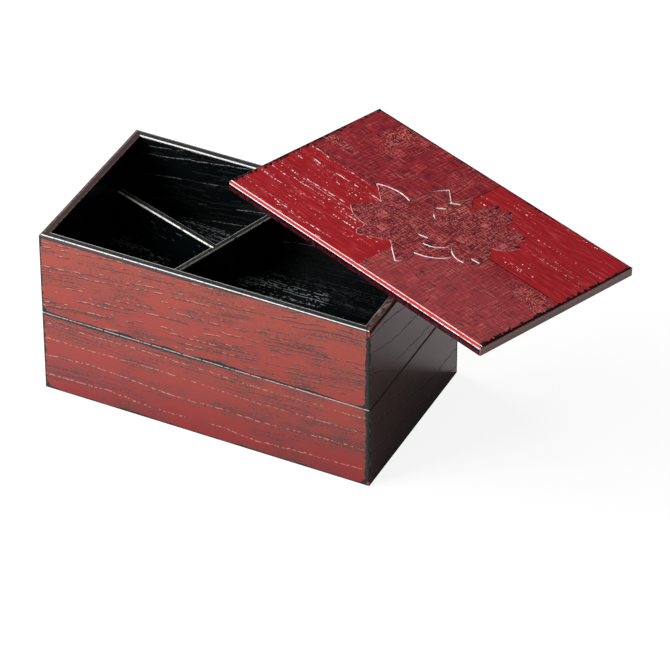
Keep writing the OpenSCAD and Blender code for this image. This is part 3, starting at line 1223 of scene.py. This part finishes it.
@dataclass
class Lid:
    """The lid: its panel with bevels, cloth fields and blossoms, and its cleats, in millimetres."""

    effects: Effects
    bevel: float = 1.4
    soft: float = 0.45
    end_arris: float = 0.7
    under_arris: float = 1.0
    corner: float = 1.0
    corner_least: float = 0.25
    corner_steps: int = 6
    field_step: float = 0.15
    field_slope: float = 0.3
    back_seam: float = -0.6
    front_seam: float = 3.1
    cross_seam: float = 2.2
    line_width: float = 0.62
    line_height: float = 0.22
    line_gap: float = 0.4
    # Direction in degrees along which the raised lines get a painted highlight.
    highlight_angle: float = 11
    large: Blossom = field(default_factory=lambda: Blossom((-0.5, 0.5), (
        Petal(104, 32, 13, 22, 165, 22),
        Petal(192, 44, 16, 31, 234, 33),
        Petal(268, 40, 23, 27, 301, 29),
        Petal(349, 34, 12, 27, 18, 24),
        Petal(50, 30, 12, 25, 78, 22),
    )))
    small: Blossom = field(default_factory=lambda: regular_blossom((21, 12), 27, 28.5, 24.5, 17.5, 8.5))

    def __post_init__(self) -> None:
        """Reads the panel's place and size from the frame."""
        self.place = plate_place("lid_panel")
        _, high = plate_box("lid_panel", self.place.inverted())
        self.half_length = high.x / MM
        self.half_width = high.y / MM
        self.top = high.z / MM - self.field_step - self.line_height

    def under_profile(self, steps: int = 6) -> list[tuple[float, float]]:
        """Returns the rounded lower arris as (inset, height)."""
        turns = [QUARTER_TURN * step / steps for step in range(steps + 1)]
        return [(self.under_arris * (1 - math.sin(t)), self.under_arris * (1 - math.cos(t))) for t in turns]

    def long_profile(self) -> list[tuple[float, float]]:
        """Returns the section over a long side as (inset, height), from its foot to the flat top."""
        tight = self.soft * math.tan(QUARTER_TURN / 4)
        reach = tight * math.cos(QUARTER_TURN / 2)
        low = (0.0, self.top - self.bevel)
        high = (self.bevel, self.top)
        points = self.under_profile()
        points += self.bend((low[0], low[1] - tight), low, (low[0] + reach, low[1] + reach))
        points += self.bend((high[0] - reach, high[1] - reach), high, (high[0] + tight, high[1]))
        return points

    def end_profile(self) -> list[tuple[float, float]]:
        """Returns the section over an end, with as many points as the one over a long side."""
        points = self.under_profile()
        count = len(self.long_profile()) - len(points)
        for step in range(count):
            turn = QUARTER_TURN * step / (count - 1)
            inset = self.end_arris * (1 - math.cos(turn))
            points.append((inset, self.top - self.end_arris * (1 - math.sin(turn))))
        return points

    @staticmethod
    def bend(start: tuple[float, float], knee: tuple[float, float], end: tuple[float, float],
             steps: int = 5) -> list[tuple[float, float]]:
        """Rounds a small knee of a section.

        Args:
            start: Where the curve starts.
            knee: The sharp knee that it replaces.
            end: Where the curve ends.
            steps: How many pieces it has.

        Returns:
            Its points, as (inset, height).
        """
        points = []
        for step in range(steps + 1):
            t = step / steps
            shares = ((1 - t) ** 2, 2 * t * (1 - t), t * t)
            points.append(tuple(sum(s * p[i] for s, p in zip(shares, (start, knee, end))) for i in range(2)))
        return points

    def ring(self, end: tuple[float, float], long: tuple[float, float]) -> list[Vector]:
        """Returns one level of the panel's skin, anticlockwise.

        Args:
            end: Inset and height at the ends.
            long: Inset and height at the long sides.

        Returns:
            The level's points, with one more on each side where a seam of the top meets it.
        """
        radius = max(self.corner - 0.5 * max(end[0], long[0]), self.corner_least)
        x_side = self.half_length - end[0]
        y_side = self.half_width - long[0]
        seams = (
            Vector((self.back_seam, y_side, long[1])),
            Vector((-x_side, self.cross_seam, end[1])),
            Vector((self.front_seam, -y_side, long[1])),
            Vector((x_side, self.cross_seam, end[1])),
        )
        points = []
        for quarter, seam in enumerate(seams):
            middle = QUARTER_TURN * (quarter + 0.5)
            corner_x = math.copysign(x_side - radius, math.cos(middle))
            corner_y = math.copysign(y_side - radius, math.sin(middle))
            for step in range(self.corner_steps + 1):
                turn = QUARTER_TURN * (quarter + step / self.corner_steps)
                lean = math.sin(turn) ** 2
                height = end[1] * (1 - lean) + long[1] * lean
                points.append(Vector((
                    corner_x + radius * math.cos(turn), corner_y + radius * math.sin(turn), height)))
            points.append(seam)
        return points

    def top_faces(self, border: list[Vector]) -> tuple[list[Vector], list[list[int]], list[Skin]]:
        """Divides the flat top into its fields and the blossoms.

        Args:
            border: The top's outline.

        Returns:
            The points, the triangles and the finish of each triangle.
        """
        far = self.half_length + self.half_width
        plain_fields = []
        for way, seam in ((-1, self.front_seam), (1, self.back_seam)):
            corners = ((way * far, way * far), (seam, way * far), (seam, self.cross_seam),
                       (way * far, self.cross_seam))
            plain_fields.append([Vector(corner) for corner in corners])
        loops = [[p.to_2d() for p in border], self.large.outline(), self.small.outline(), *plain_fields]
        top, large, small, front_left, back_right = range(len(loops))
        points: list[Vector] = []
        faces = []
        for loop in loops:
            faces.append(list(range(len(points), len(points) + len(loop))))
            points += loop
        made, _, triangles, _, _, origins = delaunay_2d_cdt(points, [], faces, 1, 1e-5)
        kept = []
        skins = []
        for triangle, origin in zip(triangles, origins):
            if top not in origin:
                continue
            petal = not {large, small}.isdisjoint(origin)
            plain = not {front_left, back_right}.isdisjoint(origin)
            kept.append(list(triangle))
            if petal:
                skins.append(Skin.WINDOW if plain else Skin.PETAL)
            else:
                skins.append(Skin.PLAIN if plain else Skin.CLOTH)
        return [Vector((p.x, p.y, self.top)) for p in made], kept, skins

    def panel(self) -> bpy.types.Object:
        """Builds the panel as one closed skin, with its cloth fields and petals raised a little."""
        skin = bmesh.new()
        rings = [
            [skin.verts.new(p) for p in self.ring(end, long)]
            for end, long in zip(self.end_profile(), self.long_profile())
        ]
        for low, high in zip(rings, rings[1:]):
            for i, vertex in enumerate(low):
                after = (i + 1) % len(low)
                face = skin.faces.new((vertex, low[after], high[after], high[i]))
                face.smooth = True
        skin.faces.new(list(reversed(rings[0])))
        points, triangles, skins = self.top_faces([v.co.copy() for v in rings[-1]])
        corners = [skin.verts.new(p) for p in points]
        raised = []
        for triangle, finish in zip(triangles, skins):
            face = skin.faces.new([corners[i] for i in triangle])
            face.material_index = finish.value
            if face.normal.z < 0:
                face.normal_flip()
            if finish != Skin.PLAIN:
                raised.append(face)
        bmesh.ops.remove_doubles(skin, verts=skin.verts, dist=0.0005)
        raised = [face for face in raised if face.is_valid]
        bmesh.ops.recalc_face_normals(skin, faces=skin.faces)
        slopes = bmesh.ops.inset_region(
            skin, faces=raised, thickness=self.field_slope, depth=self.field_step, use_even_offset=True)
        for face in slopes["faces"]:
            # Slopes of the windows that face the front get a painted highlight.
            if face.material_index == Skin.WINDOW.value and face.normal.y < 0:
                face.material_index = Skin.RIM.value
        bmesh.ops.triangulate(skin, faces=[f for f in skin.faces if len(f.verts) > 4])
        bmesh.ops.delete(skin, geom=[v for v in skin.verts if not v.link_faces], context="VERTS")
        mesh = bpy.data.meshes.new("lid_board")
        skin.to_mesh(mesh)
        skin.free()
        mesh.transform(self.place @ Matrix.Scale(MM, 4))
        board = bpy.data.objects.new("lid_board", mesh)
        bpy.context.scene.collection.objects.link(board)
        return board

    def line_paths(self) -> list[list[Vector]]:
        """Returns the stretches of the blossoms' outlines that are drawn as raised lines.

        Lines run only over the cloth fields, and the large blossom's line stops at the small one.
        """
        small = self.small.outline()
        paths = []
        for outline, covers in ((self.large.outline(), [small]), (small, [])):
            fine = finer(outline, self.line_gap)
            keep = [self.on_cloth(p) and not any(inside(p, cover) for cover in covers) for p in fine]
            paths += runs(fine, keep)
        return [path for path in paths if len(path) > 4]

    def bare_tips(self) -> list[Vector]:
        """Returns the petals' tips over the plain fields, with none that another blossom hides."""
        small = self.small.outline()
        tips = []
        for blossom in (self.large, self.small):
            for petal in blossom.petals:
                for turn in (-petal.spread, petal.spread):
                    tip = blossom.at(petal.axis + turn, petal.reach)
                    hidden = blossom is self.large and inside(tip, small)
                    if not hidden and not self.on_cloth(tip):
                        tips.append(tip)
        return tips

    def on_cloth(self, point: Vector) -> bool:
        """Tells whether a point of the top lies on a cloth field."""
        if point.y > self.cross_seam:
            return point.x < self.back_seam
        return point.x > self.front_seam

    def petal_lines(self, material: bpy.types.Material) -> bpy.types.Object:
        """Sweeps the raised lines along the petals, with geometry nodes.

        Args:
            material: The lines' finish.

        Returns:
            The lines as one plain mesh in the row frame.
        """
        points = []
        edges = []
        for path in self.line_paths():
            edges += [(len(points) + i, len(points) + i + 1) for i in range(len(path) - 1)]
            points += [Vector((p.x, p.y, 0.0)) * MM for p in path]
        mesh = bpy.data.meshes.new("petal_paths")
        mesh.from_pydata(points, edges, [])
        turn = math.radians(self.highlight_angle)
        made = bake_sweep("lid_blossom_lines", mesh, raised_line_tree(), {
            "Width": self.line_width * MM, "Height": self.line_height * MM,
            "Lift": (self.top + self.field_step) * MM,
            "Lie": (math.cos(turn), math.sin(turn), 0.0), "Finish": material,
        })
        made.data.transform(self.place)
        return made

    def build(self) -> list[bpy.types.Object]:
        """Builds the lid's own pieces and dresses its cleats.

        Returns:
            The pieces made here.
        """
        size = (self.half_length * MM, self.half_width * MM, self.top * MM, self.bevel * MM)
        tips = [(tip.x * MM, tip.y * MM) for tip in self.bare_tips()]
        seams = (self.back_seam * MM, self.front_seam * MM, self.cross_seam * MM)
        finish = LidFinish(self.effects, self.place, *size, tips, seams)
        board = self.panel()
        materials = {
            Skin.EDGE: finish.edge_material(),
            Skin.PLAIN: finish.plain_material(),
            Skin.CLOTH: finish.cloth_material("lacquered cloth", 0.0, 0.0, True),
            Skin.WINDOW: finish.cloth_material("petal windows", 0.45, 0.65, False),
            Skin.PETAL: finish.cloth_material("petal cloth", 0.26, 0.3, False),
            Skin.RIM: finish.petal_highlight_material(),
        }
        for skin in Skin:
            board.data.materials.append(materials[skin])
        lines = self.petal_lines(finish.line_material())
        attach(board, "lid")
        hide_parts("lid_panel")
        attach(lines, "lid")
        black = BlackLacquer("lid cleat lacquer", GrainLook(1.8, 3, 0.4, 2, 0.8), 9.0)
        cleats = black.material(self.effects)
        for side in ("front", "back", "left", "right"):
            set_material(f"lid_cleat_{side}", cleats)
        return [board, lines]


def finer(outline: list[Vector], gap: float) -> list[Vector]:
    """Adds points to a closed outline, so that none lie further apart than the gap."""
    points = []
    for start, end in zip(outline, outline[1:] + outline[:1]):
        count = max(1, math.ceil((end - start).length / gap))
        points += [start.lerp(end, step / count) for step in range(count)]
    return points


def inside(point: Vector, outline: list[Vector]) -> bool:
    """Tells whether a point lies inside a closed outline."""
    within = False
    for a, b in zip(outline, outline[1:] + outline[:1]):
        if (a.y > point.y) != (b.y > point.y):
            if point.x < a.x + (point.y - a.y) * (b.x - a.x) / (b.y - a.y):
                within = not within
    return within


def runs(points: list[Vector], keep: list[bool]) -> list[list[Vector]]:
    """Cuts a closed row of points into the stretches that are kept.

    Args:
        points: The closed row.
        keep: Whether each point is kept.

    Returns:
        Each kept stretch, in order.
    """
    if all(keep):
        return [points + points[:1]]
    start = keep.index(False)
    found: list[list[Vector]] = [[]]
    for i in range(len(points)):
        at = (start + i) % len(points)
        if keep[at]:
            found[-1].append(points[at])
        elif found[-1]:
            found.append([])
    return [stretch for stretch in found if stretch]


def raised_line_tree() -> bpy.types.NodeTree:
    """Builds the tree that sweeps a low oval bead along paths that lie flat.

    Returns:
        The tree, with the bead's Width and Height, the Lift of its middle and its Finish as inputs. Its
        attribute "rubbing" is 1 where a bead runs along Lie, and marks a painted highlight.
    """
    tree = bpy.data.node_groups.new("raised lines", "GeometryNodeTree")
    inputs = {
        "Paths": "Geometry", "Width": "Float", "Height": "Float", "Lift": "Float", "Lie": "Vector",
        "Finish": "Material",
    }
    for name, kind in inputs.items():
        tree.interface.new_socket(name, in_out="INPUT", socket_type="NodeSocket" + kind)
    tree.interface.new_socket("Lines", in_out="OUTPUT", socket_type="NodeSocketGeometry")
    sheet = Sheet(tree)
    entry = sheet.add("NodeGroupInput")
    given = {name: Value(sheet, entry.outputs[name]) for name in inputs}
    tangent = sheet.get("GeometryNodeInputTangent")
    ways = {0: tangent, 1: given["Lie"]}
    lies = sheet.get("ShaderNodeVectorMath", ways, "Value", operation="DOT_PRODUCT")
    curves = sheet.get("GeometryNodeMeshToCurve", {"Mesh": given["Paths"]})
    # Painted highlight share, highest where a bead runs along Lie.
    marked = sheet.get("GeometryNodeStoreNamedAttribute", {
        "Geometry": curves, "Name": "rubbing", "Value": sheet.fade(abs(lies), 0.5, 0.8, 0.08, 1.0),
    }, data_type="FLOAT", domain="POINT")
    upright = sheet.get("GeometryNodeSetCurveNormal", {"Curve": marked}, mode="Z_UP")
    oval = sheet.get("GeometryNodeCurvePrimitiveCircle", {"Resolution": 10, "Radius": 1.0})
    shape = sheet.join(given["Width"] * 0.5, given["Height"], 1.0)
    bead = sheet.get("GeometryNodeTransform", {"Geometry": oval, "Scale": shape})
    way = sheet.get("GeometryNodeSplineParameter", output="Factor")
    taper = sheet.fade(sheet.math("MINIMUM", way, 1.0 - way), 0.0, 0.03, 0.35, 1.0)
    sweep = sheet.get("GeometryNodeCurveToMesh", {
        "Curve": upright, "Profile Curve": bead, "Scale": taper, "Fill Caps": True,
    })
    lifted = sheet.get("GeometryNodeTransform", {
        "Geometry": sweep, "Translation": sheet.join(0.0, 0.0, given["Lift"]),
    })
    real = sheet.get("GeometryNodeRealizeInstances", {"Geometry": lifted})
    dressed = sheet.get("GeometryNodeSetMaterial", {"Geometry": real, "Material": given["Finish"]})
    sheet.add("NodeGroupOutput", {"Lines": dressed})
    return tree


def bake_sweep(name: str, mesh: bpy.types.Mesh, tree: bpy.types.NodeTree, inputs: dict) -> bpy.types.Object:
    """Runs a geometry node tree on a mesh and keeps the result as a plain mesh.

    Args:
        name: Name of the piece.
        mesh: What goes into the tree.
        tree: The tree.
        inputs: Values of its other inputs, by name.

    Returns:
        The piece, with no modifier left on it.
    """
    piece = bpy.data.objects.new(name, mesh)
    bpy.context.scene.collection.objects.link(piece)
    modifier = piece.modifiers.new(name, "NODES")
    modifier.node_group = tree
    sockets = {s.name: s.identifier for s in tree.interface.items_tree if s.in_out == "INPUT"}
    for label, value in inputs.items():
        modifier[sockets[label]] = value
    shown = piece.evaluated_get(bpy.context.evaluated_depsgraph_get())
    made = bpy.data.meshes.new_from_object(shown)
    piece.modifiers.remove(modifier)
    piece.data = made
    return piece


class Side(Enum):
    """The four sides of the box, with the way that their grain runs."""

    FRONT = ("front", Run.ALONG_X)
    BACK = ("back", Run.ALONG_X)
    LEFT = ("left", Run.ALONG_Y)
    RIGHT = ("right", Run.ALONG_Y)


@dataclass
class Tier:
    """One tier: four walls, a floor, the tongues in its corners and, on the upper one, cleats."""

    name: str
    plan: BoxPlan
    effects: Effects
    seed: float
    slope: float
    grain: GrainLook
    fleck: GrainLook
    foot_wear: float
    pores: PoreTones
    face: Colour
    face_foot_shade: Colour
    tip_on_top: bool
    arrises: dict[Side, ArrisLines]
    tip_gap: float = 1.7 * MM
    end_grain: GrainLook = GrainLook(15, 40, 0.55, 22, 1.3)
    end_fleck: GrainLook = GrainLook(1.3, 2, 0.4, 6, 0.4)
    inner_grain: GrainLook = GrainLook(11, 16, 0.42, 5, 1.3)
    no_grain: GrainLook = GrainLook(11, 12, 0.42, 5, 0.0)
    black_grain: GrainLook = GrainLook(1.0, 2.4, 0.42, 5, 1.0)
    # Patches of painted sheen on the floor, in millimetres.
    sheen_spots: Sequence[Sequence[float]] = ((-75, 12, 24, 10), (8, 14, 32, 10), (-48, 42, 20, 10))

    def wall(self, side: Side, seed: float) -> WallFinish:
        """Returns the finish of one wall.

        Args:
            side: Which wall it is.
            seed: Where its grain is read.

        Returns:
            The finish.
        """
        word, run = side.value
        low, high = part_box(f"{self.name}_{word}_wall")
        height = high.z - low.z
        finish = WallFinish(
            name=f"{self.name} {word} wall lacquer",
            run=run,
            face=self.face,
            face_foot_shade=self.face_foot_shade,
            bottom=low.z,
            height=height,
            seed=seed,
            slope=self.slope,
            grain=self.grain,
            fleck=self.fleck,
            inner_grain=self.inner_grain,
            arris=self.arrises.get(side, ArrisLines()),
            pores=self.pores,
            foot_wear=self.foot_wear,
            tip_rise=height - self.tip_gap if self.tip_on_top else self.tip_gap,
        )
        if run == Run.ALONG_X:
            return finish
        return replace(
            finish,
            # Painted shade: the ends share the long sides' red lacquer but are coloured dark brown-red,
            # darker still towards the foot.
            face=(66, 26, 24),
            face_foot_shade=(60, 20, 22),
            slope=-0.19,
            grain=self.end_grain,
            fleck=self.end_fleck,
            inner_grain=self.no_grain,
            pores=replace(self.pores, shade=(14, 12, 13), glint=(150, 120, 116), depth=0.92, shift=-0.45),
            corner_wear=0.7 * MM,
            foot_wear=0.8 * MM,
            top_wear=1.2 * MM,
            undercoat=(8, 10, 10),
            gloss=1.0,
            roughness=(0.3, 0.36),
        )

    def dress(self) -> list[str]:
        """Gives every piece of the tier its finish.

        Returns:
            The names of the dressed nodes.
        """
        finishes = {}
        for count, side in enumerate(Side):
            finish = self.wall(side, self.seed + count * 1.7)
            finishes[f"{self.name}_{side.value[0]}_wall"] = finish.material(self.plan, self.effects)
        # The floors' pores carry painted highlights within the painted sheen patches.
        black = BlackLacquer(
            f"{self.name} tier black lacquer", self.black_grain, self.seed + 9, glint=(172, 180, 180),
            sheen_spots=self.sheen_spots,
        ).material(self.effects)
        timber = BareWood(f"{self.name} tongue timber").material()
        for name in sorted(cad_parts):
            if name.startswith((f"{self.name}_floor", f"{self.name}_cleat")):
                finishes[name] = black
            elif name.startswith(f"{self.name}_spline"):
                finishes[name] = timber
        for name, material in finishes.items():
            set_material(name, material)
        return list(finishes)


@dataclass
class Divider:
    """The loose T divider in the upper tier."""

    effects: Effects
    grain: GrainLook = GrainLook(2.0, 5, 0.45, 5, 0.8)
    seed: float = 4.0
    # Strength of the painted highlights on each plate's front and back top arrises.
    arrises: dict[str, tuple[float, float]] = field(
        default_factory=lambda: {"divider_long": (0.35, 0.4), "divider_short": (0.95, 0.3)})

    def dress(self) -> list[str]:
        """Gives both plates their finish, with the grain along each.

        Returns:
            The names of the dressed nodes.
        """
        for node, lines in self.arrises.items():
            place = plate_place(node)
            low, high = plate_box(node, place.inverted())
            finish = BlackLacquer(f"{node.replace('_', ' ')} lacquer", self.grain, self.seed)
            set_material(node, finish.plate_material(self.effects, place, high - low, lines))
        return list(self.arrises)


@dataclass(frozen=True)
class SoftBox:
    """A rectangular studio light that looks at the object."""

    name: str
    azimuth: float
    elevation: float
    distance: float
    width: float
    height: float
    power: float

    def stand(self, target: Vector) -> None:
        """Makes the light and stands it round a point."""
        data = bpy.data.lights.new(self.name, "AREA")
        data.shape = "RECTANGLE"
        data.size = self.width
        data.size_y = self.height
        data.energy = self.power
        lamp = bpy.data.objects.new(self.name, data)
        bpy.context.scene.collection.objects.link(lamp)
        stand(lamp, target, self.azimuth, self.elevation, self.distance)


def stand(obj: bpy.types.Object, target: Vector, azimuth: float, elevation: float, distance: float) -> None:
    """Stands a lamp or camera round a point and turns it to look there.

    Args:
        obj: The lamp or camera.
        target: The point that it looks at.
        azimuth: Degrees from straight in front, positive to the right.
        elevation: Degrees above the level.
        distance: Distance from the point, in metres.
    """
    a, e = math.radians(azimuth), math.radians(elevation)
    back = Vector((math.sin(a) * math.cos(e), -math.cos(a) * math.cos(e), math.sin(e)))
    obj.location = target + back * distance
    obj.rotation_euler = back.to_track_quat("Z", "Y").to_euler()


@dataclass
class Studio:
    """Camera, pale floor, pale surroundings and soft lights."""

    target: Vector = field(default_factory=lambda: Vector((0.0587, -0.0170, 0.0614)))
    azimuth: float = 26.17
    elevation: float = 37.23
    distance: float = 2.4
    lens: float = 244.5
    sensor: float = 36.0
    floor_reach: float = 6.0
    floor_tone: float = 0.82
    seen_shadow: float = 0.2
    seen_white: float = 1.09
    fill: float = 0.1
    lights: tuple[SoftBox, ...] = (
        SoftBox("key light", -42, 34, 1.7, 0.8, 0.8, 22),
        SoftBox("side light", -90, 30, 1.7, 1.6, 0.8, 44),
    )

    def build(self) -> None:
        """Sets up the whole studio."""
        scene = bpy.context.scene
        data = bpy.data.cameras.new("camera")
        data.sensor_width = self.sensor
        data.lens = self.lens
        data.clip_start = 0.05
        data.clip_end = 50
        camera = bpy.data.objects.new("camera", data)
        scene.collection.objects.link(camera)
        stand(camera, self.target, self.azimuth, self.elevation, self.distance)
        scene.camera = camera
        for light in self.lights:
            light.stand(self.target)
        self.floor()
        self.surroundings()
        scene.view_settings.view_transform = "Standard"

    def floor(self) -> None:
        """Makes the pale floor, which the camera sees as white with a soft shadow."""
        reach = self.floor_reach
        mesh = bpy.data.meshes.new("floor")
        corners = [(-reach, -reach, 0.0), (reach, -reach, 0.0), (reach, reach, 0.0), (-reach, reach, 0.0)]
        mesh.from_pydata(corners, [], [(0, 1, 2, 3)])
        floor = bpy.data.objects.new("floor", mesh)
        bpy.context.scene.collection.objects.link(floor)
        material, sheet, shader = new_material("pale floor")
        seen = sheet.get("ShaderNodeLightPath", output="Is Camera Ray")
        lit = sheet.fade(seen, 0.0, 1.0, self.floor_tone, self.seen_shadow)
        sheet.fill(shader, {
            "Base Color": sheet.join(lit, lit, lit),
            "Roughness": 0.9,
            "Specular IOR Level": 0.0,
            "Emission Color": WHITE,
            "Emission Strength": seen * (self.seen_white - self.seen_shadow),
        })
        mesh.materials.append(material)

    def surroundings(self) -> None:
        """Makes the surroundings white to the camera and a softer grey as light."""
        world = bpy.data.worlds.new("surroundings")
        world.use_nodes = True
        bpy.context.scene.world = world
        sheet = Sheet(world.node_tree)
        seen = sheet.get("ShaderNodeLightPath", output="Is Camera Ray")
        strength = seen * (1 - self.fill) + self.fill
        sheet.fill(world.node_tree.nodes["Background"], {"Color": WHITE, "Strength": strength})


def main() -> None:
    """Builds the studio and dresses each part of the box."""
    logging.basicConfig(level=logging.INFO, format="%(name)s: %(message)s")
    Studio().build()
    effects = Effects.build()
    plan = BoxPlan.from_frame()
    tiers = (
        Tier(
            "lower", plan, effects, seed=1.0, slope=0.0, foot_wear=1.1 * MM, tip_on_top=False,
            grain=GrainLook(12, 5, 0.55, 10, 1.2),
            fleck=GrainLook(1.2, 1.6, 0.5, 6, 1.0),
            pores=PoreTones((58, 64, 62), (228, 150, 132), depth=0.5, shift=0.0, dots=1.4, right=1.0),
            face=(163, 65, 54),
            face_foot_shade=(147, 36, 38),
            arrises={
                Side.FRONT: ArrisLines(0.8, 0.4, 0.5, 0.85, 0.0, 0.46, (224, 212, 212), (58, 44, 46)),
                Side.RIGHT: ArrisLines(0.75, 0.4, 0.4, 0.9, 0.0, 0.5, (176, 170, 170), (14, 12, 13)),
            },
        ),
        Tier(
            "upper", plan, effects, seed=21.0, slope=0.09, foot_wear=1.3 * MM, tip_on_top=True,
            grain=GrainLook(3.4, 8, 0.65, 10, 1.0),
            fleck=GrainLook(1.1, 1.6, 0.5, 6, 1.0),
            pores=PoreTones((58, 64, 62), (232, 156, 134), depth=0.92, shift=-0.45, dots=3.0, right=0.3),
            face=(169, 71, 58),
            face_foot_shade=(160, 56, 48),
            arrises={
                Side.FRONT: ArrisLines(
                    1.0, outer_width=0.7, shoulder=0.9, inner=0.5, gaps=0.4, shoulder_tone=(70, 60, 64)),
                Side.BACK: ArrisLines(0.1, inner=1.0, gaps=0.3),
                Side.LEFT: ArrisLines(0.1, inner=0.3, shoulder=0.0, rim_light=(20, 26, 24)),
                Side.RIGHT: ArrisLines(
                    0.8, 0.9, 0.6, 0.9, 0.2, 0.35, (88, 24, 28), (8, 8, 8), rim_light=(104, 96, 92)),
            },
        ),
    )
    for tier in tiers:
        for name in tier.dress():
            log.info("dressed %s", name)
    for name in Divider(effects).dress():
        log.info("dressed %s", name)
    for piece in Lid(effects).build():
        log.info("built %s with %d faces", piece.name, len(piece.data.polygons))


if __name__ == "__main__":
    main()
